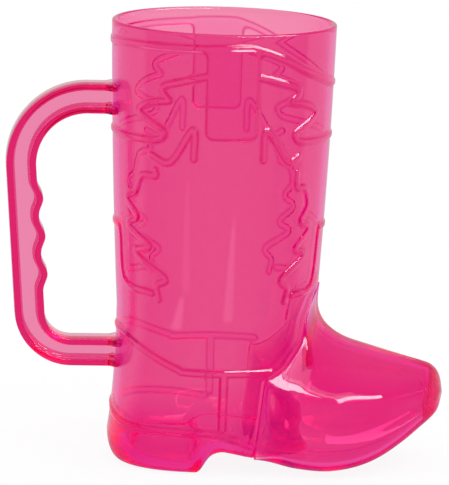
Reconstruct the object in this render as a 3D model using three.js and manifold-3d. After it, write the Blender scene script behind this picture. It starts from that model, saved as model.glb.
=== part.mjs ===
import * as THREE from 'three';
import Module from 'manifold-3d';

// A drinking mug shaped like a western boot. X points to the toe, Y to the far side, Z up, in millimetres.
// Shapes are drawn about the leg's upright axis and the whole is centred on its length at the end.

// Leg and heel
const mugHeight = 178.6;
const rimRadius = 45;
const ankleRadius = 40.3;
const ankleHeight = 63;
const heelHalfWidth = 36;
const heelFlare = 2.7;
const edgeRise = 11;
const edgeInBack = 5;
const edgeInSide = 7;
const heelBreast = -7.5;
const archHeight = 8.6;
const wall = 2.3;
const floorWall = 3.2;

// Pull straps, one on each side
const strapHalfWidth = 9.9;
const strapCentre = 0.9;
const strapBottom = 137;
const strapTop = 174;
const strapRise = 1;
const strapCorner = 3;

// Toe shell and the line where it meets the leg
const shellWall = 2.3;
const bondGap = 0.3;
const jointUnder = 14.5;
const tongueTop = 73;
const toeTip = 93.2;
const toeTipHeight = 28;
const ballHalfWidth = 40.5;
const instepHeight = 52;

// Handle
const handleBack = 86.2;
const handleDepth = 12;
const flange = 2.7;
const webHalf = 1.25;
const gripHalfWidth = 6.4;
const footHalfWidth = 9.5;
const topArm = 146.8;
const lowArm = 43.6;
const topBend = 26.4;
const lowBend = 17.2;
const handleLean = 4.6;
const bumpRise = 2.1;
const bumpPitch = 15.4;
const bumpTop = 105.7;

// Facets
const around = 60;
const toeAround = 32;

const wasm = await Module();
wasm.setup();

const clamp = THREE.MathUtils.clamp;
const lerp = THREE.MathUtils.lerp;

function ease(t) {
  return THREE.MathUtils.smoothstep(t, 0, 1);
}

function solidOf(points, triangles) {
  const vertProperties = new Float32Array(points.length * 3);
  points.forEach((p, i) => p.toArray(vertProperties, i * 3));
  return new wasm.Manifold(new wasm.Mesh({ numProp: 3, vertProperties, triVerts: new Uint32Array(triangles) }));
}

// A closed body through rings of equal point count, with a flat fan at each end.
function loft(rings) {
  const n = rings[0].length;
  const points = rings.flat();
  const triangles = [];
  for (let r = 0; r + 1 < rings.length; r += 1) {
    for (let i = 0; i < n; i += 1) {
      const a = r * n + i;
      const b = r * n + ((i + 1) % n);
      triangles.push(a, b, b + n, a, b + n, a + n);
    }
  }
  const last = (rings.length - 1) * n;
  const middle = (ring) => ring.reduce((sum, p) => sum.add(p), new THREE.Vector3()).divideScalar(n);
  points.push(middle(rings[0]), middle(rings[rings.length - 1]));
  for (let i = 0; i < n; i += 1) {
    const j = (i + 1) % n;
    triangles.push(j, i, points.length - 2, last + i, last + j, points.length - 1);
  }
  return solidOf(points, triangles);
}

// A side-view outline of x and z pairs, pushed through the whole width.
function slab(outline, halfWidth = 2 * rimRadius) {
  const shape = new THREE.Shape(outline.map(([x, z]) => new THREE.Vector2(x, z)));
  const geometry = new THREE.ExtrudeGeometry(shape, { depth: 2 * halfWidth, bevelEnabled: false });
  geometry.rotateX(Math.PI / 2);
  geometry.translate(0, halfWidth, 0);
  return solidFrom(geometry);
}

function solidFrom(geometry) {
  const position = geometry.getAttribute('position');
  const known = new Map();
  const points = [];
  const triangles = [];
  for (let i = 0; i < position.count; i += 1) {
    const p = new THREE.Vector3().fromBufferAttribute(position, i);
    const key = p.toArray().map((v) => Math.round(v * 1e4)).join();
    if (!known.has(key)) {
      known.set(key, points.length);
      points.push(p);
    }
    triangles.push(known.get(key));
  }
  return solidOf(points, triangles);
}

// Outside of the leg: radius above the ankle, then back reach and half width down to the heel.
function legRadius(z) {
  const t = Math.max(0, (z - ankleHeight) / (mugHeight - ankleHeight));
  return ankleRadius + (rimRadius - ankleRadius) * (1.52 * t - 0.52 * t * t);
}

function legBack(z) {
  return legRadius(z) + heelFlare * clamp((ankleHeight - z) / (ankleHeight - edgeRise), 0, 1) ** 2.6;
}

function legHalf(z) {
  return z > ankleHeight ? legRadius(z) : lerp(heelHalfWidth, ankleRadius, ease(z / ankleHeight));
}

function legFront(z) {
  return lerp(legRadius(z), toeTip * 0.667, ease((0.79 * ankleHeight - z) / (0.55 * ankleHeight)));
}

function legPower(z) {
  return 2 + 0.3 * ease((ankleHeight - z) / (0.68 * ankleHeight));
}

function ring(z, back, front, half, power) {
  const points = [];
  for (let i = 0; i < around; i += 1) {
    const a = (2 * Math.PI * i) / around;
    const c = Math.cos(a);
    const s = Math.sin(a);
    const reach = c < 0 ? back : front;
    const r = (Math.abs(c / reach) ** power + Math.abs(s / half) ** power) ** (-1 / power);
    points.push(new THREE.Vector3(r * c, r * s, z));
  }
  return points;
}

function legRing(z, swell = 0, inset = 0) {
  const back = legBack(z) + swell - inset * edgeInBack;
  const front = legFront(z) + swell - inset * edgeInBack;
  return ring(z, back, front, legHalf(z) + swell - inset * edgeInSide, legPower(z));
}

// Quarter-round steps: inset runs from 1 at the bottom to 0, rise from 0 to 1.
function edgeSteps(steps) {
  return Array.from({ length: steps + 1 }, (_, i) => {
    const a = (Math.PI * i) / (2 * steps);
    return { inset: 1 - Math.sin(a), rise: 1 - Math.cos(a) };
  });
}

const footHeights = [0.24, 0.33, 0.44, 0.57, 0.7, 0.83, 1].map((t) => t * ankleHeight);
const shaftHeights = [0.27, 0.44, 0.61, 0.8].map((t) => lerp(ankleHeight, mugHeight, t));
const seatTop = 1.055 * tongueTop;

function legBody(swell) {
  const low = edgeSteps(4).map((e) => legRing(e.rise * edgeRise, swell, e.inset));
  const rest = [...footHeights, seatTop, ...shaftHeights].map((z) => legRing(z, swell));
  return loft([...low, ...rest, legRing(mugHeight, swell)]);
}

// Underside of the boot in side view, from the heel's breast over the arch to the ball.
const archRun = jointUnder - heelBreast;
const archAt = (along, up) => [heelBreast + along * archRun, archHeight * up];
const soleLine = [
  archAt(0, 0),
  archAt(0.07, 0.26),
  archAt(0.135, 0.58),
  archAt(0.205, 0.79),
  archAt(0.295, 0.93),
  archAt(0.43, 1),
  archAt(0.75, 0.84),
  archAt(1, 0.66),
  archAt(1.36, 0.45),
  archAt(1.73, 0.14),
];

function lineHeight(line, x) {
  const next = line.findIndex(([px]) => px >= x);
  if (next <= 0) {
    return next < 0 ? line[line.length - 1][1] : line[0][1];
  }
  const [ax, az] = line[next - 1];
  const [bx, bz] = line[next];
  return lerp(az, bz, (x - ax) / (bx - ax));
}

// Everything below a side-view line, turned up at both long edges by the same round as the heel's edge.
function under(line, halfWidth, roundIn) {
  const far = 2 * rimRadius;
  const xs = [...line.map(([x]) => x), toeTip];
  const steps = [0.55, 0.82, 0.95, 1];
  const side = steps.map((t) => halfWidth - roundIn * (1 - t));
  const ys = [-far, ...side.map((y) => -y).reverse(), 0, ...side, far];
  const top = xs.map((x) => ys.map((y) => {
    const t = clamp((Math.abs(y) - halfWidth + roundIn) / roundIn, 0, 1);
    return new THREE.Vector3(x, y, lineHeight(line, x) + edgeRise * (1 - Math.sqrt(1 - t * t)));
  }));
  const deep = (row) => [row[row.length - 1], row[0]].map((p) => p.clone().setZ(-mugHeight));
  return loft(top.map((row) => [...row, ...deep(row)].reverse()));
}

// Side-view line of the bond between leg and toe shell, from under the arch up to the tongue.
const jointAt = (along, up) => [lerp(jointUnder, ankleRadius, along), tongueTop * up];
const jointLine = [
  jointAt(0, 0.15),
  jointAt(0.1, 0.525),
  jointAt(0.2, 0.545),
  jointAt(0.44, 0.6),
  jointAt(0.72, 0.72),
  jointAt(0.77, 0.822),
  jointAt(0.88, 0.937),
  jointAt(0.99, 0.986),
];

function toeSide(shift) {
  const line = jointLine.map(([x, z]) => [x + shift, z - shift]);
  const high = tongueTop - shift;
  const out = 1.4 * toeTip;
  const front = [[1.5 * ankleRadius, high], [out, high], [out, -tongueTop]];
  return slab([[jointUnder + shift, -tongueTop], ...line, ...front]);
}

// The leg's front where the toe shell covers it, set back by the shell and its bond.
const seat = shellWall + bondGap;

function seatFront(z) {
  const t = z / ankleHeight;
  return t > 1 ? legRadius(z) - seat : ankleRadius * (0.856 + 0.08 * ease((t - 0.16) / 0.71));
}

function seatBody(swell) {
  const low = edgeSteps(3).map((e) => {
    return { z: 1.4 * seat - swell + edgeInSide * e.rise, cut: seat + edgeInSide * e.inset - swell };
  });
  const rest = [...footHeights, seatTop].map((z) => ({ z, cut: seat - swell }));
  const rings = [...low, ...rest].map(({ z, cut }) => {
    return ring(z, legBack(z) - cut, seatFront(z) + seat - cut, legHalf(z) - cut, 2.2);
  });
  const slope = soleLine.slice(5).map(([x, z]) => [x, z + seat - swell]);
  const line = [[-ankleRadius / 2, archHeight + seat - swell], ...slope];
  return loft(rings).subtract(under(line, heelHalfWidth - seat, edgeInSide));
}

// The drinking space: down the leg, over the arch and into the heel.
function cavity() {
  const low = edgeSteps(3).map((e) => {
    return { z: floorWall + edgeInSide * e.rise, inset: 0.85 * edgeInSide * e.inset };
  });
  const rest = [...footHeights, seatTop, ...shaftHeights, 1.03 * mugHeight].map((z) => ({ z, inset: 0 }));
  const rings = [...low, ...rest].map(({ z, inset }) => {
    const h = Math.min(z, mugHeight);
    const back = lerp(floorWall, wall, ease(h / ankleHeight));
    const fade = ease((h - ankleHeight) / (seatTop - ankleHeight));
    const front = h > seatTop ? legRadius(h) - wall : seatFront(h) - lerp(wall, 0, fade);
    const tuck = 0.63 * ankleHeight;
    const side = lerp(seat + wall, wall, ease((h - tuck) / (seatTop - tuck)));
    return ring(z, legBack(h) - back - inset, Math.min(front, legRadius(h) - wall) - inset,
      legHalf(h) - side - inset, 2.2);
  });
  const humpAt = (along, up, rise) => [heelBreast + along * archRun, archHeight * up + rise];
  const hump = [
    humpAt(-0.205, 0, 0),
    humpAt(-0.135, 0.26, floorWall),
    humpAt(-0.045, 0.58, floorWall),
    humpAt(0.07, 0.82, floorWall),
    humpAt(0.205, 0.97, floorWall),
    humpAt(0.43, 1, floorWall),
    humpAt(0.91, 0.72, seat + floorWall),
    humpAt(1.36, 0.45, seat + floorWall),
    humpAt(1.73, 0.14, seat + floorWall),
  ];
  return loft(rings).subtract(under(hump, heelHalfWidth - seat - floorWall, edgeInSide));
}

// A raised strap pad with rounded lower corners, cut from a skin one rise thick.
function strap(side) {
  const shape = new THREE.Shape();
  const left = strapCentre - strapHalfWidth;
  const right = strapCentre + strapHalfWidth;
  shape.moveTo(left, strapTop);
  shape.lineTo(left, strapBottom + strapCorner);
  shape.absarc(left + strapCorner, strapBottom + strapCorner, strapCorner, Math.PI, 1.5 * Math.PI);
  shape.absarc(right - strapCorner, strapBottom + strapCorner, strapCorner, 1.5 * Math.PI, 2 * Math.PI);
  shape.lineTo(right, strapTop);
  const options = { depth: 2 * rimRadius, bevelEnabled: false, curveSegments: 4 };
  const geometry = new THREE.ExtrudeGeometry(shape, options);
  geometry.rotateX(Math.PI / 2);
  geometry.translate(0, side > 0 ? 2.2 * rimRadius : -0.2 * rimRadius, 0);
  const heights = [-0.1, 0.25, 0.5, 0.78, 1.05].map((t) => lerp(strapBottom, strapTop, t));
  return solidFrom(geometry).intersect(loft(heights.map((z) => legRing(z, strapRise))));
}

// Toe shell: each section leans from a point on the top line to a point on the sole line.
const throat = 1.022 * ankleRadius;
const onTop = (along, up) => [throat * along, tongueTop * up];
const behind = (along, up) => [-ankleRadius * along, tongueTop * up];
const onToe = (along, up) => [toeTip * along, instepHeight * up];
const toeSections = [
  { top: onTop(1.01, 1.08), low: behind(1.022, 1.08), half: 1.022 * ankleRadius, bulge: 0.5, flat: 2 },
  { top: onTop(1, 0.973), low: behind(1, 0.74), half: 1.005 * ankleRadius, bulge: 0.5, flat: 2 },
  { top: onTop(1, 0.911), low: behind(1, 0.397), half: 0.998 * ankleRadius, bulge: 0.5, flat: 2 },
  { top: onTop(1.015, 0.842), low: behind(1, -0.027), half: 0.978 * ankleRadius, bulge: 0.5, flat: 2 },
  { top: onTop(1.063, 0.786), low: behind(1, -0.56), half: 0.963 * ankleRadius, bulge: 0.5, flat: 2 },
  { top: onTop(1.126, 0.748), low: archAt(0.52, 1), half: 0.913 * ankleRadius, bulge: 0.4, flat: 4.5 },
  { top: onToe(0.536, 1), low: archAt(1, 0.62), half: 0.923 * ankleRadius, bulge: 0.38, flat: 5.5 },
  { top: onToe(0.59, 0.952), low: archAt(1.34, 0.44), half: 0.953 * ankleRadius, bulge: 0.36, flat: 6 },
  { top: onToe(0.644, 0.923), low: archAt(1.75, 0.14), half: 0.983 * ballHalfWidth, bulge: 0.35, flat: 6.5 },
  { top: onToe(0.697, 0.894), low: onToe(0.44, 0), half: ballHalfWidth, bulge: 0.35, flat: 6.5 },
  { top: onToe(0.751, 0.865), low: onToe(0.536, 0.012), half: 0.94 * ballHalfWidth, bulge: 0.35, flat: 6 },
  { top: onToe(0.805, 0.838), low: onToe(0.628, 0.044), half: 0.845 * ballHalfWidth, bulge: 0.36, flat: 5.5 },
  { top: onToe(0.858, 0.812), low: onToe(0.719, 0.106), half: 0.71 * ballHalfWidth, bulge: 0.37, flat: 5 },
  { top: onToe(0.907, 0.788), low: onToe(0.81, 0.198), half: 0.55 * ballHalfWidth, bulge: 0.39, flat: 4.2 },
  { top: onToe(0.944, 0.763), low: onToe(0.885, 0.29), half: 0.395 * ballHalfWidth, bulge: 0.42, flat: 3.4 },
  { top: onToe(0.973, 0.715), low: onToe(0.941, 0.362), half: 0.265 * ballHalfWidth, bulge: 0.45, flat: 2.7 },
  { top: onToe(0.99, 0.644), low: onToe(0.975, 0.427), half: 0.15 * ballHalfWidth, bulge: 0.5, flat: 2.2 },
];

function toeRing({ top, low, half, bulge, flat }, inset) {
  const axis = new THREE.Vector2(top[0] - low[0], top[1] - low[1]);
  const length = axis.length();
  axis.divideScalar(length);
  const points = [];
  for (let i = 0; i < toeAround; i += 1) {
    const a = (2 * Math.PI * i) / toeAround;
    const up = Math.cos(a) > 0;
    const power = 2 / (up ? 2 : flat);
    const reach = (up ? length * (1 - bulge) : length * bulge) - inset;
    const h = length * bulge + reach * Math.sign(Math.cos(a)) * Math.abs(Math.cos(a)) ** power;
    const y = (half - inset) * Math.sign(Math.sin(a)) * Math.abs(Math.sin(a)) ** power;
    points.push(new THREE.Vector3(low[0] + axis.x * h, -y, low[1] + axis.y * h));
  }
  return points;
}

function toeBody(inset) {
  const scale = (toeTip - inset) / toeTip;
  const rings = toeSections.slice(0, inset > 0 ? -1 : undefined).map((section) => toeRing(section, inset));
  const tip = rings[rings.length - 1].map(() => new THREE.Vector3(toeTip * scale, 0, toeTipHeight));
  const nose = rings[rings.length - 1].map((p, i) => {
    return p.clone().lerp(tip[i], 0.55).setX(lerp(p.x, tip[i].x, 0.85));
  });
  return loft([...rings, nose]);
}

// Handle: an H-section swept along the grip's centre line.
function gripPath() {
  const half = handleDepth / 2;
  const topCentre = new THREE.Vector2(topBend + half - handleBack, topArm - topBend);
  const lowCentre = new THREE.Vector2(topCentre.x - handleLean, lowArm + lowBend);
  const between = topCentre.clone().sub(lowCentre);
  const lean = Math.asin((topBend - lowBend) / between.length()) - Math.atan2(between.x, between.y);
  const stations = [];
  const add = (x, z, nx, nz) => stations.push({ x, z, nx, nz });
  const start = -legRadius(topArm) + half;
  for (let i = 0; i < 5; i += 1) {
    add(lerp(start, topCentre.x + half / 2, i / 4), topArm, 0, 1);
  }
  for (let i = 0; i <= 9; i += 1) {
    const a = lerp(Math.PI / 2, Math.PI + lean, i / 9);
    add(topCentre.x + topBend * Math.cos(a), topCentre.y + topBend * Math.sin(a), Math.cos(a), Math.sin(a));
  }
  const from = stations[stations.length - 1];
  const side = Math.PI + lean;
  const to = { x: lowCentre.x + lowBend * Math.cos(side), z: lowCentre.y + lowBend * Math.sin(side) };
  for (let i = 1; i < 22; i += 1) {
    add(lerp(from.x, to.x, i / 22), lerp(from.z, to.z, i / 22), from.nx, from.nz);
  }
  for (let i = 0; i <= 8; i += 1) {
    const a = lerp(side, 1.5 * Math.PI, i / 8);
    add(lowCentre.x + lowBend * Math.cos(a), lowCentre.y + lowBend * Math.sin(a), Math.cos(a), Math.sin(a));
  }
  const end = -legRadius(lowArm) + half;
  for (let i = 0; i < 5; i += 1) {
    add(lerp(lowCentre.x + half / 2, end, i / 4), lowArm, 0, -1);
  }
  return stations;
}

function bump(z) {
  const nearest = clamp(Math.round((bumpTop - z) / bumpPitch), 0, 2);
  const away = Math.abs(z - (bumpTop - nearest * bumpPitch)) / (bumpPitch / 2);
  return away < 1 ? bumpRise * (0.5 + 0.5 * Math.cos(Math.PI * away)) ** 1.3 : 0;
}

function handleBody() {
  const rings = gripPath().map(({ x, z, nx, nz }) => {
    const half = handleDepth * (0.5 - 0.04 * ease((lowArm + lowBend - z) / lowBend));
    const wallX = -legRadius(z);
    const flare = ease((x - wallX) / flange + 1);
    const side = lerp(gripHalfWidth, footHalfWidth, flare);
    const rise = x < wallX - 0.8 * topBend ? bump(z) : 0;
    const inner = -half - rise;
    const outline = [
      [half, -side], [half, side], [half - flange, side], [half - flange, webHalf],
      [inner + flange, webHalf], [inner + flange, side], [inner, side], [inner, -side],
      [inner + flange, -side], [inner + flange, -webHalf], [half - flange, -webHalf], [half - flange, -side],
    ];
    return outline.map(([q, y]) => new THREE.Vector3(x + nx * q, y, z + nz * q));
  });
  return sweep(rings);
}

// A swept body whose ends are the same flat outline.
function sweep(rings) {
  const n = rings[0].length;
  const points = rings.flat();
  const triangles = [];
  for (let r = 0; r + 1 < rings.length; r += 1) {
    for (let i = 0; i < n; i += 1) {
      const a = r * n + i;
      const b = r * n + ((i + 1) % n);
      triangles.push(a, b, b + n, a, b + n, a + n);
    }
  }
  const half = handleDepth / 2;
  const flat = [[half, -9], [half, 9], [half - 2, 9], [half - 2, 1], [2 - half, 1], [2 - half, 9],
    [-half, 9], [-half, -9], [2 - half, -9], [2 - half, -1], [half - 2, -1], [half - 2, -9]];
  const faces = THREE.ShapeUtils.triangulateShape(flat.map(([q, y]) => new THREE.Vector2(q, y)), []);
  const last = (rings.length - 1) * n;
  faces.forEach(([a, b, c]) => triangles.push(a, c, b, last + a, last + b, last + c));
  return solidOf(points, triangles);
}

function meshOf(name, solid, material) {
  const { vertProperties, triVerts } = solid.getMesh();
  const geometry = new THREE.BufferGeometry();
  geometry.setAttribute('position', new THREE.BufferAttribute(new Float32Array(vertProperties), 3));
  geometry.setIndex(new THREE.BufferAttribute(new Uint32Array(triVerts), 1));
  geometry.computeVertexNormals();
  const mesh = new THREE.Mesh(geometry, material);
  mesh.name = name;
  return mesh;
}

function clearPink(color) {
  return new THREE.MeshStandardMaterial({ color, roughness: 0.08, metalness: 0 });
}

const arch = under(soleLine, 1.014 * heelHalfWidth, edgeInSide);
const legShape = legBody(0).subtract(toeSide(0)).subtract(arch);
const legCup = legShape.add(seatBody(0)).add(strap(1)).add(strap(-1)).subtract(cavity());
const toeHull = toeBody(0).subtract(toeBody(shellWall));
const toeShell = toeHull.intersect(toeSide(bondGap)).subtract(seatBody(bondGap));
const handle = handleBody().subtract(legBody(bondGap));

const mug = new THREE.Group();
mug.add(meshOf('leg_cup', legCup, clearPink(0xe4498a)));
mug.add(meshOf('toe_shell', toeShell, clearPink(0xe34f85)));
mug.add(meshOf('handle', handle, clearPink(0xe03486)));
const extent = new THREE.Box3().setFromObject(mug);
mug.position.x = -(extent.min.x + extent.max.x) / 2;
mug.updateMatrixWorld(true);

export default mug;
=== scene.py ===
import math

import bpy
import numpy as np
from mathutils import Matrix, Vector


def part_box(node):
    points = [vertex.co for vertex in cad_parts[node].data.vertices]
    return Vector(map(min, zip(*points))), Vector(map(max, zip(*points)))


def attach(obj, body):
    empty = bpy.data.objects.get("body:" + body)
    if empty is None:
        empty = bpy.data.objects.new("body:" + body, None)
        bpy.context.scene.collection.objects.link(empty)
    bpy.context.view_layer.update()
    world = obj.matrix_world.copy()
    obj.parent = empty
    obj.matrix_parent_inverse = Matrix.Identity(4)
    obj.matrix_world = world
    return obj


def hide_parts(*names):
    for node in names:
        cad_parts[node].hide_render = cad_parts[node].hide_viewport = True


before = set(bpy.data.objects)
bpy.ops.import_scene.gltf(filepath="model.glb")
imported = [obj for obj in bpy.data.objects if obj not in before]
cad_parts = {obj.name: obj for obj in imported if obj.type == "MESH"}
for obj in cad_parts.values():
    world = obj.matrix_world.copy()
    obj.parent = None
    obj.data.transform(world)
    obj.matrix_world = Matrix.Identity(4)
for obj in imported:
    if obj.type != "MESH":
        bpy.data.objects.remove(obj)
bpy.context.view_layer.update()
scene = bpy.context.scene

mm = 0.001
rimRadius = 45.0  # the leg's outside at the rim, the widest ring of the cup
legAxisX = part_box("leg_cup")[0].x / mm + rimRadius  # shapes below are drawn about the leg's upright axis
tintOf = {"thin": 0.0, "face": 0.5, "flankShade": 1.0}  # thin edges, plain walls, and painted shade along the flanks of the relief


def ease(t):
    t = np.clip(t, 0.0, 1.0)
    return t * t * (3 - 2 * t)


def mix(a, b, t):
    return a + (b - a) * t


def smoothLine(points, steps=24):  # a soft curve through the given points
    p = np.array(points, float)
    p = np.vstack([2 * p[0] - p[1], p, 2 * p[-1] - p[-2]])
    t = np.linspace(0, 1, steps, endpoint=False)[:, None]
    out = []
    for a, b, c, d in zip(p, p[1:], p[2:], p[3:]):
        curve = 2 * b + (c - a) * t + (2 * a - 5 * b + 4 * c - d) * t ** 2
        out.append(0.5 * (curve + (3 * b - a - 3 * c + d) * t ** 3))
    return np.vstack(out + [p[-2:-1]])


def easedLine(points, reach=1.1):  # heights along a side-view line, its corners eased over a millimetre or so
    p = np.array(points, float)
    shifts = np.linspace(-reach, reach, 9)
    return lambda x: np.mean([np.interp(x + d, p[:, 0], p[:, 1]) for d in shifts], axis=0)


def lineDistance(u, v, line):  # distance from every grid point to an open line
    best = np.full(np.shape(u), 1e9)
    for (ax, ay), (bx, by) in zip(line, line[1:]):
        dx, dy = bx - ax, by - ay
        t = np.clip(((u - ax) * dx + (v - ay) * dy) / (dx * dx + dy * dy + 1e-12), 0, 1)
        best = np.minimum(best, np.hypot(u - ax - t * dx, v - ay - t * dy))
    return best


def gridFaces(rows, columns):  # quads over closed rings, one ring after the other
    r, c = np.meshgrid(np.arange(rows - 1), np.arange(columns), indexing="ij")
    a = r * columns + c
    b = r * columns + (c + 1) % columns
    return np.stack([a, b, b + columns, a + columns], -1).reshape(-1, 4).tolist()


def shellFaces(rows, columns):  # the same, with the first and last ring closed on two points after the rings
    faces = gridFaces(rows, columns)
    last = (rows - 1) * columns
    for i in range(columns):
        j = (i + 1) % columns
        faces.append([j, i, rows * columns])
        faces.append([last + i, last + j, rows * columns + 1])
    return faces


def addPiece(name, points, faces, node, material, tints=tintOf["face"]):
    mesh = bpy.data.meshes.new(name)
    mesh.from_pydata(((np.asarray(points) + [legAxisX, 0, 0]) * mm).tolist(), [], faces)
    mesh.polygons.foreach_set("use_smooth", [True] * len(mesh.polygons))
    tint = mesh.attributes.new("tint", "FLOAT", "POINT")
    tint.data.foreach_set("value", np.broadcast_to(np.asarray(tints, float), len(mesh.vertices)))
    mesh.materials.append(material)
    piece = bpy.data.objects.new(name, mesh)
    scene.collection.objects.link(piece)
    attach(piece, "root")
    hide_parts(node)
    print("made", name, len(mesh.vertices), "points")


# Materials

def hexToLinear(code):
    channels = [int(code[i:i + 2], 16) / 255 for i in (1, 3, 5)]
    return [c / 12.92 if c <= 0.04045 else ((c + 0.055) / 1.055) ** 2.4 for c in channels] + [1.0]


def addNode(tree, kind, settings=None, links=None):
    node = tree.nodes.new(kind)
    for key, value in (settings or {}).items():
        if key in node.inputs.keys():
            node.inputs[key].default_value = value
        else:
            setattr(node, key, value)
    for key, source in (links or {}).items():
        tree.links.new(source, node.inputs[key])
    return node


acrylic = {
    "face": "#f3baad",  # what two faces of a wall let through
    "thin": "#fbe6c6",  # and two faces of a thin edge
    "flankShade": "#e00c5e",  # painted shade: darker along the flanks of the relief, where light would be bent away
    "dye": "#fe00d7",
    "glow": "#170045",  # a painted glow: every face shines a little, which lifts the deep colour
    "dyeDensity": 248.0,  # per metre
    "ior": 1.49,
    "polish": 0.015,  # roughness of a polished mould
    "haze": 0.05,  # roughness where the mould is worn
    "wearSize": 14.0,  # mm
    "wearRange": (0.4, 0.75),  # from polished to worn in the noise
    "drawSize": 1.6,  # mm, spacing of the upright draw marks from the mould
    "drawStretch": 0.03,  # they are drawn out upright by this
    "drawDepth": 0.008,  # mm
}

# The solid handle is dyed in depth
# the handle's faces have a fainter painted glow
gripAcrylic = dict(acrylic, face="#f6f3da", dye="#f900cc", glow="#140010", dyeDensity=300.0)


def mouldedAcrylic(name, p):  # clear acrylic, injection moulded: glossy, dyed through, with faint draw marks, painted shade and reflection from the tint, and a painted glow
    material = bpy.data.materials.new(name)
    material.use_nodes = True
    material.cycles.emission_sampling = "NONE"
    tree = material.node_tree
    tree.nodes.clear()
    place = addNode(tree, "ShaderNodeTexCoord")
    wear = addNode(tree, "ShaderNodeTexNoise", {"Scale": 1 / (p["wearSize"] * mm), "Detail": 3.0},
                   {"Vector": place.outputs["Object"]})
    wearFrom, wearTo = p["wearRange"]
    rough = addNode(tree, "ShaderNodeMapRange",
                    {"From Min": wearFrom, "From Max": wearTo, "To Min": p["polish"], "To Max": p["haze"]},
                    {"Value": wear.outputs["Fac"]})
    stretch = addNode(tree, "ShaderNodeMapping", {"Scale": (1.0, 1.0, p["drawStretch"])},
                      {"Vector": place.outputs["Object"]})
    draw = addNode(tree, "ShaderNodeTexNoise", {"Scale": 1 / (p["drawSize"] * mm), "Detail": 1.0},
                   {"Vector": stretch.outputs["Vector"]})
    bump = addNode(tree, "ShaderNodeBump", {"Strength": 1.0, "Distance": p["drawDepth"] * mm},
                   {"Height": draw.outputs["Fac"]})
    # the tint attribute carries painted shade on the relief's flanks and painted reflection streaks on the
    # near wall
    share = addNode(tree, "ShaderNodeAttribute", {"attribute_name": "tint"})
    tint = addNode(tree, "ShaderNodeValToRGB", None, {"Fac": share.outputs["Fac"]})
    stops = tint.color_ramp.elements  # one at each end to begin with
    stops.new(tintOf["face"])
    for stop, key in zip(stops, tintOf):
        stop.color = hexToLinear(p[key])
    # the emission is a painted glow on every face
    skin = addNode(tree, "ShaderNodeBsdfPrincipled",
                   {"IOR": p["ior"], "Transmission Weight": 1.0, "Emission Color": hexToLinear(p["glow"]),
                    "Emission Strength": 1.0},
                   {"Base Color": tint.outputs["Color"], "Roughness": rough.outputs["Result"],
                    "Normal": bump.outputs["Normal"]})
    depth = addNode(tree, "ShaderNodeVolumeAbsorption",
                    {"Color": hexToLinear(p["dye"]), "Density": p["dyeDensity"]})
    addNode(tree, "ShaderNodeOutputMaterial", None,
            {"Surface": skin.outputs["BSDF"], "Volume": depth.outputs["Volume"]})
    return material


pinkAcrylic = mouldedAcrylic("clear_pink_moulded_acrylic", acrylic)
paleAcrylic = mouldedAcrylic("pale_pink_moulded_acrylic", gripAcrylic)


# Leg: the cup with its heel, arch, straps and stitch beads, in mm

leg = {
    "height": 178.6,
    "ankleRadius": 40.3,
    "ankleHeight": 63.0,
    "belly": 0.52,  # how much the leg swells between ankle and rim
    "heelHalf": 36.0,
    "heelFlare": 2.7,
    "flarePower": 2.6,
    "edgeRise": 11.0,  # rounded edge of the sole
    "edgeBack": 5.0,
    "edgeSide": 7.0,
    "toeReach": 62.2,
    "toeFrom": 0.79,  # the front runs out to the toe below this share of the ankle's height
    "toeRun": 0.55,  # over this share of it
    "square": 0.3,  # the rings get squarer to the sole
    "squareRun": 0.68,
    "wall": 2.3,
    "heelWall": 6.6,
    "heelRise": 26.0,  # the wall is thicker below this height
    "floorEdge": 6.0,  # rounded edge of the inner floor
    "floorRise": 7.0,
    "seat": 2.6,  # how far the front steps back under the toe shell
    "seatPower": 2.2,
    "lip": 0.6,  # the step right at the joint
    "lipStart": 1.4,  # it starts behind the joint
    "lipRun": 1.6,
    "lipGrow": 0.08,  # and deepens ahead of it
    "lipBlend": 0.2,
    "rib": 0.6,  # extra wall inside along the joint
    "ribHalf": 5.0,
    "ribBack": 1.5,
    "tongueTop": 73.0,
    "rimRound": 0.8,
    "columns": 600,
    "levelFrom": 66.0,  # rows are level from here up, and follow the sole below
    "lowRow": 0.7,  # mm between rows below it
    "beadRow": 0.45,  # and above it, where most beads are
    "soleRings": 34,
    "edgeRings": 14,
    "plainRings": 5,  # of these, without relief
    "floorRings": 24,
    "floorEdgeRings": 9,
    "innerRows": 46,
    "innerLevelFrom": 68.0,
    "rimRings": 9,
}

# Side-view lines about the leg's axis, x to the toe and z up
jointLine = [(14.5, -20), (14.5, 11), (17.1, 38.3), (19.7, 39.8), (25.9, 43.8), (33.1, 52.6), (34.4, 60),
             (37.2, 68.4), (40, 72), (44, 73)]
soleLine = [(-60, 0), (-7.6, 0), (-6, 2.2), (-4.5, 5), (-3, 6.8), (-1, 8), (2, 8.6), (9, 7.2), (14.5, 5.9),
            (20, 7), (24, 7), (28, 6.3), (32, 4.8), (36, 3.6), (42, 2.7), (60, 2.7)]
floorLine = [(-60, 2.6), (-11, 2.6), (-9.2, 3.2), (-8, 4.6), (-5.8, 7.6), (-3.4, 10), (-1, 11), (2, 11.3),
             (9, 10), (14, 9), (20, 9.4), (30, 7.7), (42, 5.3), (60, 5.3)]

# Front of the cup inside the toe shell, as height and reach
frontLine = [(0, 41.5), (4, 40.3), (11, 37.9), (15.6, 34.4), (26, 33.2), (37.7, 34.2), (52.5, 35.6),
             (63, 37.6), (200, 37.6)]
frontEase = 4.0

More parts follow.
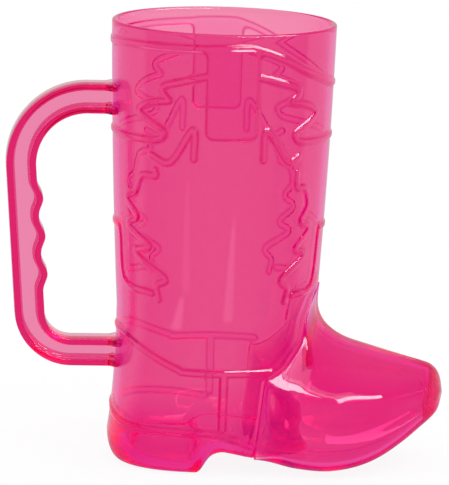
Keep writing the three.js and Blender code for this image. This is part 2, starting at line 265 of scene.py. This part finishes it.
# Stitch beads: u runs along the wall from the side seam, forward positive, and z up. Both sides are alike
seamX = 0.9
unrollRadius = 43.0
beads = {
    "half": 1.2,
    "rise": 0.6,
    "edge": 1.3,
    "flankShade": 0.5,  # half width of the painted dark line on each flank
    "fillet": 3.0,  # where the collar runs into the straps
    "steps": 5,
    "lines": {
        "collar": [(-67.6, 170.2), (-50, 171.7), (-30, 172.4), (-8, 172.7), (8, 172.6), (20, 168.7),
                   (30, 163.9), (40, 160.4), (50, 157.7), (60, 155.9), (67.6, 155.2)],
        "scrollStart": [(10, 161.9), (18, 159.7), (28, 156.2), (25, 151.3)],
        "scroll": [(25, 151.3), (34, 149.5), (39.5, 146.2), (34, 142.4), (28.5, 139.7), (27, 137.9),
                   (30, 135.3), (40, 134.7), (67.6, 134.6)],
        "tipBack": [(-14.5, 128.9), (-15, 140.4), (-24, 126.9), (-33, 128.9)],
        "tipFront": [(13, 128.9), (14, 140.4), (24, 127.9), (30, 129.4)],
        "flameBack": [(-31, 122.9), (-31, 120.6), (-38, 119.9), (-42, 112.9), (-48, 109.9), (-41, 102.9),
                      (-47, 98.9), (-34, 91.9), (-42.5, 88.4), (-26.5, 79.9), (-30.5, 76.4), (-29.5, 70.9)],
        "flameFront": [(29.5, 122.9), (30, 116.9), (35, 115.9), (37.5, 108.9), (33.5, 102.9), (39.5, 99.4),
                       (31, 91.9), (37.5, 88.9), (24.5, 80.4), (28, 75.9), (27, 70.9)],
        "panelBack": [(-33, 72.9), (-52, 75.9), (-55, 94), (-58, 96.9), (-67.6, 97)],
        "panelFront": [(31, 72.9), (46, 75.9), (49, 96), (52, 98), (67.6, 98)],
        "counter": [(-67.6, 54.9), (-50, 52.9), (-40, 50.4), (-30, 46.9), (-20, 43.4), (-15, 42.4),
                    (21, 42.4)],
    },
    "mirrored": ("scrollStart", "scroll"),  # also to the back
}
strap = {"half": 9.9, "low": 137.0, "top": 173.0, "corner": 3.0, "rise": 1.0, "edge": 1.8}
seamStrip = {"half": 1.6, "low": 18.0, "top": 42.0, "corner": 0.8}
welts = {  # over the heel, and not quite alike on both sides
    -1: [(-67.6, 22), (-60, 20.4), (-52, 18.7), (-42, 17.6), (-30, 17.8), (-5, 17.5), (4, 15.5), (14, 12)],
    1: [(-67.6, 22), (-56, 22.4), (-42, 22), (-20, 19.8), (-2, 17.2)],
}

# Painted reflections: pale upright streaks on the near wall, narrower to the top
reflectionStreaks = {
    "taper": 0.75,
    "footFade": 0.06,  # shares of a streak's height over which it fades
    "topFade": 0.3,
    "streaks": [  # u and z of foot and top, half width of the foot
        {"foot": (1.0, 65.0), "top": (2.2, 111.0), "half": 2.0, "pale": 0.7},
        {"foot": (-21.6, 60.0), "top": (-18.4, 75.0), "half": 2.4, "pale": 1.0},
        {"foot": (-17.4, 76.0), "top": (-17.0, 128.0), "half": 1.8, "pale": 0.3},
    ],
}


def legRadius(z):
    t = np.maximum(0, (z - leg["ankleHeight"]) / (leg["height"] - leg["ankleHeight"]))
    swell = (1 + leg["belly"]) * t - leg["belly"] * t * t
    return mix(leg["ankleRadius"], rimRadius, swell)


def legSection(z):  # half width, reach to the front and squareness of a ring
    ankle = leg["ankleHeight"]
    radius = legRadius(z)
    half = np.where(z > ankle, radius, mix(leg["heelHalf"], leg["ankleRadius"], ease(z / ankle)))
    front = mix(radius, leg["toeReach"], ease((leg["toeFrom"] * ankle - z) / (leg["toeRun"] * ankle)))
    return half, front, 2 + leg["square"] * ease((ankle - z) / (leg["squareRun"] * ankle))


def edgeInset(rise):  # how far the rounded edge of the sole is in, at a share of its rise
    return leg["edgeSide"] * (1 - np.sqrt(1 - (1 - rise) ** 2))


def ringRadius(angle, back, front, half, power):
    c, s = np.cos(angle), np.sin(angle)
    reach = np.where(c < 0, back, front)
    return (np.abs(c / reach) ** power + np.abs(s / half) ** power) ** (-1 / power)


def legShape(angle, z):  # the wall's plain outside, stepped back where the toe shell covers it
    ankle = leg["ankleHeight"]
    flare = np.clip((ankle - z) / (ankle - leg["edgeRise"]), 0, 1) ** leg["flarePower"]
    back = legRadius(z) + leg["heelFlare"] * flare
    half, front, power = legSection(z)
    outer = ringRadius(angle, back, front, half, power)
    seatFront = easedLine(frontLine, frontEase)(z)
    seat = ringRadius(angle, back - leg["seat"], seatFront, half - leg["seat"], leg["seatPower"])
    x = outer * np.cos(angle)
    line = np.array(jointLine)
    side = np.where(x > np.interp(z, line[:, 1], line[:, 0]), 1, -1)
    ahead = np.where(z > leg["tongueTop"], -1, side) * lineDistance(x, z, jointLine)
    step = leg["lip"] * ease((ahead + leg["lipStart"]) / leg["lipRun"])
    step = step + leg["lipGrow"] * np.maximum(0, ahead) ** 2
    room = np.maximum(outer - seat, 0)
    depth = (room + step - np.sqrt((room - step) ** 2 + room * step * leg["lipBlend"])) / 2
    return outer - depth, ahead


def alongWall(x, y):
    return unrollRadius * np.arctan2(x - seamX, np.abs(y))


def roundedBox(u, v, halfU, lowV, highV, corner):
    qu = np.abs(u) - halfU + corner
    qv = np.abs(v - (lowV + highV) / 2) - (highV - lowV) / 2 + corner
    return np.hypot(np.maximum(qu, 0), np.maximum(qv, 0)) + np.minimum(np.maximum(qu, qv), 0) - corner


def relief(x, y, z):  # height of straps, beads and seams over the plain wall, and the painted shade along their flanks
    u = alongWall(x, y)

    def away(line):
        return lineDistance(u, z, smoothLine(line, beads["steps"]))

    lines = list(beads["lines"].values())
    lines += [[(-a, b) for a, b in beads["lines"][k]] for k in beads["mirrored"]]
    far = np.full(u.shape, 1e9)
    for line in lines:
        far = np.minimum(far, away(line))
    for side, line in welts.items():
        far = np.minimum(far, np.where(y * side > 0, away(line), 1e9))
    pad = roundedBox(u, z, strap["half"], strap["low"], strap["top"], strap["corner"])
    strip = roundedBox(u, z, seamStrip["half"], seamStrip["low"], seamStrip["top"], seamStrip["corner"])
    collar = away(beads["lines"]["collar"]) - beads["half"]
    share = np.clip(0.5 + (pad - collar) / beads["fillet"] / 2, 0, 1)
    joined = mix(pad, collar, share) - beads["fillet"] * share * (1 - share)
    edge = np.minimum(np.minimum(far - beads["half"], strip), joined)
    low = beads["rise"] * ease(0.5 - edge / beads["edge"])
    high = strap["rise"] * ease(0.5 - pad / strap["edge"])
    # the second value is painted shade on the flanks of beads, straps, seam strips and welts
    return np.maximum(low, high), np.exp(-(edge / beads["flankShade"]) ** 2)


def paintedReflectionShare(x, y, z):  # how pale the painted reflection streaks make the near wall
    u = alongWall(x, y)
    pale = np.zeros(u.shape)
    for streak in reflectionStreaks["streaks"]:
        (footU, footZ), (topU, topZ) = streak["foot"], streak["top"]
        t = np.clip((z - footZ) / (topZ - footZ), -reflectionStreaks["footFade"], 1)
        half = streak["half"] * (1 - reflectionStreaks["taper"] * t)
        across = ease(1.5 - np.abs(u - mix(footU, topU, t)) / half)
        ends = ease(1 + t / reflectionStreaks["footFade"]) * ease((1 - t) / reflectionStreaks["topFade"])
        pale = np.maximum(pale, streak["pale"] * across * ends)
    return np.where(y < 0, pale, 0)


def wallRadius(angle, z, thin):  # thin is the wall to take off for the inside, or None for the outside
    radius, ahead = legShape(angle, z)
    if thin is None:
        return radius
    rib = np.cos(np.pi / 2 * np.clip((ahead + leg["ribBack"]) / leg["ribHalf"], -1, 1)) ** 2
    return radius - thin(z) - leg["rib"] * rib


def cupSide(angle, wallRows, bottomLine, thin, edge, riseTo, bottomRings, edgeRings):
    # rings from the middle of the bottom out to its edge, round the edge and up the wall
    bottom = easedLine(bottomLine)
    c, s = np.cos(angle), np.sin(angle)
    inset = np.where(c < 0, np.hypot(edge[0] * c, edge[1] * s), edge[1])
    rings = []
    for q in np.linspace(0, np.pi / 2, edgeRings):
        z = riseTo * (1 - np.cos(q)) + 0 * angle
        for _ in range(4):  # height and radius settle together
            r = wallRadius(angle, z, thin) - inset * (1 - np.sin(q))
            z = bottom(r * c) + riseTo * (1 - np.cos(q))
        rings.append(np.stack([r * c, r * s, z], -1))
    flat = []
    for t in np.linspace(0, 1, bottomRings + 1)[1:-1]:
        p = rings[0] * [t, t, 0]
        p[:, 2] = bottom(p[:, 0])
        flat.append(p)
    top = rings[-1][:, 2]
    level = leg["levelFrom"]
    walls = []
    for row in wallRows:
        z = row + 0 * angle if row > level else mix(top, level, row / level)
        r = wallRadius(angle, z, thin)
        walls.append(np.stack([r * c, r * s, z], -1))
    return np.array(flat + rings + walls)


def buildLeg():
    angle = np.linspace(0, 2 * np.pi, leg["columns"], endpoint=False)
    high = leg["height"] - leg["rimRound"]
    level = leg["levelFrom"]
    outerRows = [*np.linspace(0, level, round(level / leg["lowRow"]))[1:],
                 *np.arange(level + leg["beadRow"], high, leg["beadRow"]), high]
    outer = cupSide(angle, outerRows, soleLine, None, (leg["edgeBack"], leg["edgeSide"]), leg["edgeRise"],
                    leg["soleRings"], leg["edgeRings"])
    x, y, z = np.moveaxis(outer, -1, 0)
    low = leg["soleRings"] - 1 + leg["plainRings"]
    rise, shadeOnFlanks = relief(x, y, z)
    shadeOnFlanks[:low] = 0
    grow = 1 + rise[low:] / np.maximum(np.hypot(x, y)[low:], 1)
    outer[low:, :, :2] *= grow[..., None]

    def thin(z):
        return mix(leg["heelWall"], leg["wall"], ease(z / leg["heelRise"]))

    innerRows = [*np.linspace(0, level, leg["innerRows"])[1:],
                 *np.linspace(leg["innerLevelFrom"], high, leg["innerRows"])]
    inner = cupSide(angle, innerRows, floorLine, thin, (leg["floorEdge"], leg["floorEdge"]), leg["floorRise"],
                    leg["floorRings"], leg["floorEdgeRings"])
    rim = []
    half = leg["wall"] / 2
    for q in np.linspace(0, np.pi, leg["rimRings"])[1:-1]:
        r = legRadius(leg["height"]) - half + half * np.cos(q)
        lift = high + leg["rimRound"] * np.sin(q)
        rim.append(np.stack([r * np.cos(angle), r * np.sin(angle), lift + 0 * angle], -1))
    rings = np.concatenate([outer, rim, inner[::-1]])
    rows, columns = rings.shape[:2]
    middles = [[0, 0, outer[0, :, 2].mean()], [0, 0, inner[0, :, 2].mean()]]
    points = np.vstack([rings.reshape(-1, 3), middles])
    tints = np.full(len(points), tintOf["face"])
    # painted shade along the flanks of the relief
    tints[:shadeOnFlanks.size] += (tintOf["flankShade"] - tintOf["face"]) * shadeOnFlanks.ravel()
    # painted reflection streaks on the near wall
    pale = paintedReflectionShare(*np.moveaxis(rings, -1, 0)).ravel()
    tints[:pale.size] -= (tintOf["face"] - tintOf["thin"]) * pale
    addPiece("leg_cup_shell", points, shellFaces(rows, columns), "leg_cup", pinkAcrylic, tints)


# Toe: a hollow shell in front of the leg, open at the back, in mm

toe = {
    "topLine": [(41.6, 72.7), (41.2, 66.5), (41.8, 61.5), (43.8, 57.4), (46.4, 54.6), (50, 52), (55, 49.6),
                (60, 48), (65, 46.5), (70, 45), (75, 43.6), (80, 42.2), (84.5, 41), (88, 39.7), (90.7, 37.2),
                (92.3, 33.5), (93.2, 28)],
    "bottomLine": [(14.8, 5.3), (22, 3.8), (31, 1.2), (41, 0), (50, 0.6), (58.5, 2.3), (67, 5.5),
                   (75.5, 10.3), (82.5, 15.1), (87.7, 18.8), (90.9, 22.2), (93.2, 28)],
    # half width on the way from the joint to the tip, as shares of that way
    "widths": [(0, 36.5), (0.125, 38), (0.25, 39.5), (0.375, 40.3), (0.5, 36.6), (0.6, 31.4), (0.75, 21.6),
               (0.85, 14.2), (0.92, 8.6), (1, 0)],
    # half width of a section from the top line down, as shares
    "roof": [(0, 0), (0.02, 0.18), (0.055, 0.33), (0.115, 0.53), (0.195, 0.735), (0.275, 0.88), (0.345, 0.95),
             (0.46, 0.985)],
    "widest": 0.63,  # where the side stands out most, from the top line to the bottom line
    "ridgeFall": 1.4,  # the ridge starts lower down at the joint
    "ridgeRun": 0.4,  # and is at its height after this share of the way
    "soleCorner": 5.0,  # squareness of the lower side
    "soleEdge": 0.92,  # share of a section down to its bottom edge
    "blend": 0.3,  # share of the way over which the skin leaves the leg's shape
    "cornerRun": 0.14,  # and over which the joint's corner fades out
    "jointDrop": 2.0,  # the joint leaves the top line this far down
    "wall": 5.0,
    "soleWall": 3.0,
    "soleFrom": 0.58,  # shares of the height over which the wall gets to the sole's
    "soleRun": 0.22,
    "edge": 0.5,  # wall at the rear edge, which thins over the leg's step
    "edgeRun": 14.0,
    "paleRun": 7.0,  # the thin edge is paler this far
    "noseWall": 5.0,
    "noseRise": 1.0,
    "noseRings": 9,
    "gap": 0.3,
    "clearTo": 48.0,  # the inside is kept clear of the leg up to here
    "around": 84,  # points on each side
    "along": 130,
}


def evenly(points, count):  # the same line with its points evenly spaced
    run = np.concatenate([[0], np.cumsum(np.linalg.norm(np.diff(points, axis=0), axis=1))])
    at = np.linspace(0, run[-1], count)
    return np.stack([np.interp(at, run, points[:, k]) for k in range(points.shape[1])], -1)


def pickAt(line, share):  # the point at a share of an evenly spaced line
    at = np.linspace(0, 1, len(line))
    return np.stack([np.interp(share, at, line[:, k]) for k in range(line.shape[1])], -1)


def rearWidth(x, z):  # half width of the leg's outside at side-view points, with its rounded bottom edge
    half, front, power = legSection(z)
    width = half * np.clip(1 - np.clip(x / front, 0, 1) ** power, 0, 1) ** (1 / power)
    return width - edgeInset(np.clip((z - toe["bottomLine"][0][1]) / leg["edgeRise"], 0, 1))


def toeProfile(t):  # share of the half width from the top line to the bottom edge
    w = toe["widest"]
    roof = smoothLine(toe["roof"] + [(w, 1)], 12)
    away = np.clip((t - w) / (1 - w), 0, 1)
    side = np.clip(1 - away ** toe["soleCorner"], 0, 1) ** (1 / toe["soleCorner"])
    return np.where(t < w, np.interp(t, roof[:, 0], roof[:, 1]), side)


def toeSkin(shares, fine=600, steps=1001):  # near half of the outside, one row for each share of the way
    top = evenly(smoothLine(toe["topLine"]), steps)
    bottom = evenly(smoothLine(toe["bottomLine"]), steps)
    lowest, highest = bottom[0, 1], top[0, 1] - toe["jointDrop"]
    joint = [(x + toe["gap"], z) for x, z in jointLine[::-1] if lowest < z < highest]
    joint = evenly(smoothLine([tuple(top[0])] + joint + [tuple(bottom[0])]), steps)
    t = (1 - np.cos(np.linspace(0, np.pi, fine))) / 2
    down = np.minimum(t / toe["soleEdge"], 1)
    under = np.clip((1 - t) / (1 - toe["soleEdge"]), 0, 1)  # the flat bottom closes to the middle
    rear = pickAt(joint, down)
    flush = rearWidth(rear[:, 0], rear[:, 1]) * under
    plain = toe["widths"][0][1] * toeProfile(down ** toe["ridgeFall"])
    lead = rear - mix(rear[0], rear[-1], down[:, None])
    bend = np.hanning(fine // 3)  # the joint's corner is softened by this
    soft = [np.convolve(v, bend / bend.sum(), "same") for v in (*lead.T, flush - plain)]
    widths = smoothLine(toe["widths"], 12)
    rows = []
    for share in shares:
        even = ease(share / toe["cornerRun"])
        bow = mix(lead, np.stack(soft[:2], -1), even)
        side = mix(pickAt(top, share), pickAt(bottom, share), down[:, None]) + (1 - share) * bow
        low = mix(toe["ridgeFall"], 1.0, ease(share / toe["ridgeRun"]))
        width = np.interp(share, widths[:, 0], widths[:, 1]) * toeProfile(down ** low)
        width = width + mix(flush - plain, soft[2], even) * max(0, 1 - share / toe["blend"]) ** 2
        line = np.stack([side[:, 0], -np.maximum(width, 0), side[:, 1]], -1)
        rows.append(evenly(line, toe["around"] + 1))
    return np.array(rows)


def bothSides(half):  # mirrors the near half and joins it to a ring
    return np.concatenate([half, half[:, -2:0:-1] * [1, -1, 1]], 1)


def clearOfLeg(inner):  # moves the inside out to where the leg leaves a gap
    x, y, z = np.moveaxis(inner, -1, 0)
    angle = np.arctan2(y, x)
    rise = np.clip((z - easedLine(soleLine)(x)) / leg["edgeRise"], 0, 1)
    clear = legShape(angle, z)[0] - edgeInset(rise) + toe["gap"]
    push = np.maximum(0, clear - np.hypot(x, y)) * (z < leg["tongueTop"]) * (x < toe["clearTo"])
    print("toe pushed out by", round(float(push.max()), 2), "mm at most")
    return np.stack([x + push * np.cos(angle), y + push * np.sin(angle), z], -1)


def buildToe():
    outer = bothSides(toeSkin(np.linspace(0, 1, toe["along"])[:-1]))
    columns = outer.shape[1]
    ahead = np.gradient(outer, axis=0)
    across = np.roll(outer, -1, 1) - np.roll(outer, 1, 1)
    normal = np.cross(across, ahead)
    normal /= np.linalg.norm(normal, axis=-1, keepdims=True) + 1e-9
    run = np.cumsum(np.linalg.norm(np.diff(outer, axis=0, prepend=outer[:1]), axis=-1), axis=0)
    top, bottom = outer[:, :1, 2], outer[:, toe["around"]:toe["around"] + 1, 2]
    fall = (top - outer[..., 2]) / (top - bottom)
    full = mix(toe["wall"], toe["soleWall"], ease((fall - toe["soleFrom"]) / toe["soleRun"]))
    wall = mix(toe["edge"], full, ease(run / toe["edgeRun"]))
    inner = outer - wall[..., None] * normal
    tip = np.array([toe["topLine"][-1][0], 0, toe["topLine"][-1][1]])
    stop = int(np.argmax(outer[:, 0, 0] > tip[0] - toe["noseWall"]))
    middle = inner[stop].mean(0)
    cap = []
    for q in np.linspace(0, np.pi / 2, toe["noseRings"])[1:-1]:
        ring = mix(middle, inner[stop], math.cos(q))
        ring[:, 0] += toe["noseRise"] * math.sin(q)
        cap.append(ring)
    inner = clearOfLeg(np.concatenate([inner[:stop + 1], cap]))
    rings = np.concatenate([inner[::-1], outer])
    points = np.vstack([rings.reshape(-1, 3), [inner[-1].mean(0), tip]])
    plain = tintOf["face"]
    thin = mix(tintOf["thin"], plain, ease(run / toe["paleRun"]))
    capTints = np.full((len(cap), columns), plain)
    tints = np.append(np.concatenate([capTints, thin[stop::-1], thin]), [plain, plain])
    addPiece("toe_hollow_shell", points, shellFaces(len(rings), columns), "toe_shell", pinkAcrylic, tints)


# Handle: an H section swept round the grip, with finger bumps inside, in mm

grip = {
    "back": 86.2,
    "depth": 12.0,
    "slim": 0.04,  # each side of the lower bend is slimmer by this share of the depth
    "flange": 2.7,
    "webHalf": 2.1,
    "half": 6.4,
    "footHalf": 9.5,
    "topArm": 146.8,
    "lowArm": 43.6,
    "topBend": 26.4,
    "lowBend": 17.2,
    "lean": 4.6,
    "bumps": 3,
    "bumpRise": 2.1,
    "bumpPower": 1.3,
    "bumpPitch": 15.4,
    "bumpTop": 105.7,
    "bumpsFrom": 0.8,  # this share of the top bend away from the leg
    "corner": 0.8,
    "cornerPoints": 5,
    "gap": 0.2,
    "rings": (16, 60, 90, 44, 22),  # top arm, top bend, grip, low bend, low arm
}


def gripPath():  # centre line and outward direction, from the top foot round to the low foot
    half = grip["depth"] / 2
    topX, topZ = grip["topBend"] + half - grip["back"], grip["topArm"] - grip["topBend"]
    lowX, lowZ = topX - grip["lean"], grip["lowArm"] + grip["lowBend"]
    between = math.hypot(topX - lowX, topZ - lowZ)
    lean = math.asin((grip["topBend"] - grip["lowBend"]) / between) - math.atan2(topX - lowX, topZ - lowZ)
    up, side, down = math.pi / 2, math.pi + lean, 1.5 * math.pi
    topArm, topBend, straight, lowBend, lowArm = grip["rings"]

    def onTop(a):
        return topX + grip["topBend"] * math.cos(a), topZ + grip["topBend"] * math.sin(a)

    def onLow(a):
        return lowX + grip["lowBend"] * math.cos(a), lowZ + grip["lowBend"] * math.sin(a)

    startX = -legRadius(grip["topArm"]) - grip["gap"]
    endX = -legRadius(grip["lowArm"]) - grip["gap"]
    (fromX, fromZ), (toX, toZ) = onTop(side), onLow(side)
    path = [(x, grip["topArm"], up) for x in np.linspace(startX, topX, topArm, endpoint=False)]
    path += [(*onTop(a), a) for a in np.linspace(up, side, topBend, endpoint=False)]
    shares = np.linspace(0, 1, straight, endpoint=False)
    path += [(mix(fromX, toX, t), mix(fromZ, toZ, t), side) for t in shares]
    path += [(*onLow(a), a) for a in np.linspace(side, down, lowBend, endpoint=False)]
    path += [(x, grip["lowArm"], down) for x in np.linspace(lowX, endX, lowArm)]
    return path


def fingerBump(z):
    nearest = min(grip["bumps"] - 1, max(0, round((grip["bumpTop"] - z) / grip["bumpPitch"])))
    away = abs(z - grip["bumpTop"] + nearest * grip["bumpPitch"]) / (grip["bumpPitch"] / 2)
    if away >= 1:
        return 0.0
    return grip["bumpRise"] * (0.5 + 0.5 * math.cos(math.pi * away)) ** grip["bumpPower"]


def gripOutline(half, inner, side):  # the H section with rounded corners
    f, w = grip["flange"], grip["webHalf"]
    right = [(half, side), (half - f, side), (half - f, w), (inner + f, w), (inner + f, side), (inner, side)]
    corners = [(half, -side)] + right + [(q, -y) for q, y in right[:0:-1]]
    corners = np.array(corners)
    out = []
    for before, c, after in zip(np.roll(corners, 1, 0), corners, np.roll(corners, -1, 0)):
        p = c + (before - c) / np.linalg.norm(before - c) * grip["corner"]
        q = c + (after - c) / np.linalg.norm(after - c) * grip["corner"]
        for t in np.linspace(0, 1, grip["cornerPoints"]):
            out.append((1 - t) ** 2 * p + 2 * t * (1 - t) * c + t * t * q)
    return out


def buildHandle():
    rings = []
    for x, z, a in gripPath():
        wallX = -legRadius(z)
        foot = float(ease((x - wallX) / grip["flange"] + 1))
        side = mix(grip["half"], grip["footHalf"], foot)
        low = float(ease((grip["lowArm"] + grip["lowBend"] - z) / grip["lowBend"]))
        half = grip["depth"] * (0.5 - grip["slim"] * low)
        rise = fingerBump(z) if x < wallX - grip["bumpsFrom"] * grip["topBend"] else 0.0
        outline = gripOutline(half, -half - rise, side)
        rings.append([(x + math.cos(a) * q, y, z + math.sin(a) * q) for q, y in outline])
    rings = np.array(rings)
    for end in (rings[0], rings[-1]):  # the feet follow the leg's wall
        end[:, 0] = -np.sqrt(legRadius(end[:, 2]) ** 2 - end[:, 1] ** 2) - grip["gap"]
    rows, columns = rings.shape[:2]
    faces = gridFaces(rows, columns)
    faces.append(list(range(columns - 1, -1, -1)))
    faces.append(list(range((rows - 1) * columns, rows * columns)))
    addPiece("grip_handle", rings.reshape(-1, 3), faces, "handle", paleAcrylic)


buildLeg()
buildToe()
buildHandle()


# Studio: white floor and backdrop, soft boxes, and the camera of the photograph. Sizes are in metres

studio = {
    "floorSize": 6.0,
    "floorDrop": 0.0004,
    "floorWhite": "#fcfcfc",
    "shadowShare": 0.1,  # how much of the floor's own light and shadow shows
    "frontGlow": 0.04,  # brightness of the room in front, as the gloss shows it
    "backGlow": 0.6,  # and behind
    "worldFade": (-0.25, 0.45),  # from front to back, as a direction's y
    "floorFade": (-0.045, 0.05),  # and on the floor, as a place's y
    "topFade": (0.15, 0.5),  # upwards, as a direction's z
    "topShare": 0.5,  # of the glow that is left above
    "aim": (0.05, -0.03, 0.03),  # where the soft boxes point, on the side of the toe
    "boxDistance": 1.25,
}

# Turn and lift are in degrees from the front, and glow is how bright the face looks
softBoxes = [
    {"name": "soft_box_side", "turn": 43, "lift": 38, "size": (1.6, 0.42), "glow": 13.0, "glossOnly": True},
    {"name": "soft_box_middle", "turn": 34, "lift": 52, "size": (1.2, 0.16), "glow": 3.0, "glossOnly": False},
    {"name": "soft_box_top", "turn": 36, "lift": 62, "size": (0.9, 0.25), "glow": 1.2, "glossOnly": False},
]


def awayFrom(turn, lift):  # direction to a place round the object, from the front and up
    turn, lift = math.radians(turn), math.radians(lift)
    return Vector((math.sin(turn) * math.cos(lift), -math.cos(turn) * math.cos(lift), math.sin(lift)))


def rayKinds(tree):  # the rays that see the white backdrop, and those that only show the room as gloss
    path = addNode(tree, "ShaderNodeLightPath")
    white = addNode(tree, "ShaderNodeMath", {"operation": "MAXIMUM"})
    tree.links.new(path.outputs["Is Camera Ray"], white.inputs[0])
    tree.links.new(path.outputs["Is Transmission Ray"], white.inputs[1])
    gloss = addNode(tree, "ShaderNodeMath", {"operation": "SUBTRACT", "use_clamp": True})
    tree.links.new(path.outputs["Is Glossy Ray"], gloss.inputs[0])
    tree.links.new(path.outputs["Is Transmission Ray"], gloss.inputs[1])
    return white.outputs[0], gloss.outputs[0]


def roomGlow(tree, gloss, vector, near, far):  # 1, but for gloss pale low down behind and darker elsewhere
    split = addNode(tree, "ShaderNodeSeparateXYZ", None, {"Vector": vector})
    fade = addNode(tree, "ShaderNodeMapRange",
                   {"From Min": near, "From Max": far, "To Min": studio["frontGlow"],
                    "To Max": studio["backGlow"]},
                   {"Value": split.outputs["Y"]})
    topFrom, topTo = studio["topFade"]
    top = addNode(tree, "ShaderNodeMapRange",
                  {"From Min": topFrom, "From Max": topTo, "To Min": 1.0, "To Max": studio["topShare"]},
                  {"Value": split.outputs["Z"]})
    room = addNode(tree, "ShaderNodeMath", {"operation": "MULTIPLY"})
    tree.links.new(fade.outputs["Result"], room.inputs[0])
    tree.links.new(top.outputs["Result"], room.inputs[1])
    glow = addNode(tree, "ShaderNodeMix", {"data_type": "FLOAT"})
    glow.inputs[2].default_value = 1.0
    tree.links.new(gloss, glow.inputs[0])
    tree.links.new(room.outputs[0], glow.inputs[3])
    return glow.outputs[0]


def paperSweep():  # white paper: the camera sees it white with a little of its own shadow
    paper = bpy.data.materials.new("white_paper_sweep")
    paper.use_nodes = True
    tree = paper.node_tree
    tree.nodes.clear()
    white, gloss = rayKinds(tree)
    share = addNode(tree, "ShaderNodeMath", {"operation": "MULTIPLY_ADD"})
    tree.links.new(white, share.inputs[0])
    share.inputs[1].default_value = 1 - studio["shadowShare"]
    tree.links.new(gloss, share.inputs[2])
    place = addNode(tree, "ShaderNodeNewGeometry")
    glow = roomGlow(tree, gloss, place.outputs["Position"], *studio["floorFade"])
    matte = addNode(tree, "ShaderNodeBsdfDiffuse", {"Color": hexToLinear(studio["floorWhite"])})
    shine = addNode(tree, "ShaderNodeEmission", {"Color": (1, 1, 1, 1)}, {"Strength": glow})
    blend = addNode(tree, "ShaderNodeMixShader", None, {"Fac": share.outputs[0]})
    tree.links.new(matte.outputs[0], blend.inputs[1])
    tree.links.new(shine.outputs[0], blend.inputs[2])
    addNode(tree, "ShaderNodeOutputMaterial", None, {"Surface": blend.outputs[0]})
    return paper


def buildStudio():
    world = bpy.data.worlds.new("studio")
    scene.world = world
    world.use_nodes = True
    tree = world.node_tree
    tree.nodes.clear()
    gloss = rayKinds(tree)[1]
    way = addNode(tree, "ShaderNodeTexCoord")
    glow = roomGlow(tree, gloss, way.outputs["Generated"], *studio["worldFade"])
    light = addNode(tree, "ShaderNodeBackground", {"Color": (1, 1, 1, 1)}, {"Strength": glow})
    addNode(tree, "ShaderNodeOutputWorld", None, {"Surface": light.outputs["Background"]})

    mesh = bpy.data.meshes.new("floor")
    s = studio["floorSize"]
    mesh.from_pydata([(-s, -s, 0), (s, -s, 0), (s, s, 0), (-s, s, 0)], [], [(0, 1, 2, 3)])
    mesh.materials.append(paperSweep())
    floor = bpy.data.objects.new("floor", mesh)
    scene.collection.objects.link(floor)
    floor.location.z = -studio["floorDrop"]
    print("made studio")


def addSoftBox(box):
    away = awayFrom(box["turn"], box["lift"])
    width, height = box["size"]
    data = bpy.data.lights.new(box["name"], "AREA")
    data.shape = "RECTANGLE"
    data.size, data.size_y = width, height
    data.energy = box["glow"] * width * height * math.pi
    lamp = bpy.data.objects.new(box["name"], data)
    lamp.location = Vector(studio["aim"]) + away * studio["boxDistance"]
    lamp.rotation_euler = (-away).to_track_quat("-Z", "Y").to_euler()
    lamp.visible_diffuse = not box["glossOnly"]
    scene.collection.objects.link(lamp)


camera = {
    "azimuth": -4.38,
    "elevation": 10.27,
    "roll": 1.70,
    "distance": 1741.5,  # mm
    "target": (2.57, 0.0, 88.36),  # mm, from the foot of the leg's axis
    "focal": 4317.0,  # in pixels of the photograph
    "frame": (449, 485),
    "sensor": 36.0,
}


def buildCamera():
    data = bpy.data.cameras.new("camera")
    data.sensor_fit = "AUTO"
    data.sensor_width = camera["sensor"]
    data.lens = camera["sensor"] * camera["focal"] / max(camera["frame"])
    eye = bpy.data.objects.new("camera", data)
    back = awayFrom(camera["azimuth"], camera["elevation"])
    target = Vector(camera["target"]) + Vector((legAxisX, 0, 0))
    eye.location = (target + back * camera["distance"]) * mm
    turn = (-back).to_track_quat("-Z", "Y").to_matrix().to_4x4()
    eye.rotation_euler = (turn @ Matrix.Rotation(math.radians(camera["roll"]), 4, "Z")).to_euler()
    data.clip_start, data.clip_end = 0.01, 50
    scene.collection.objects.link(eye)
    scene.camera = eye


buildStudio()
for box in softBoxes:
    addSoftBox(box)
buildCamera()
print("made soft boxes and camera")

scene.view_settings.view_transform = "Standard"
scene.cycles.max_bounces = 256  # light runs far inside clear walls
scene.cycles.transmission_bounces = 256
scene.cycles.glossy_bounces = 256
scene.cycles.diffuse_bounces = 8
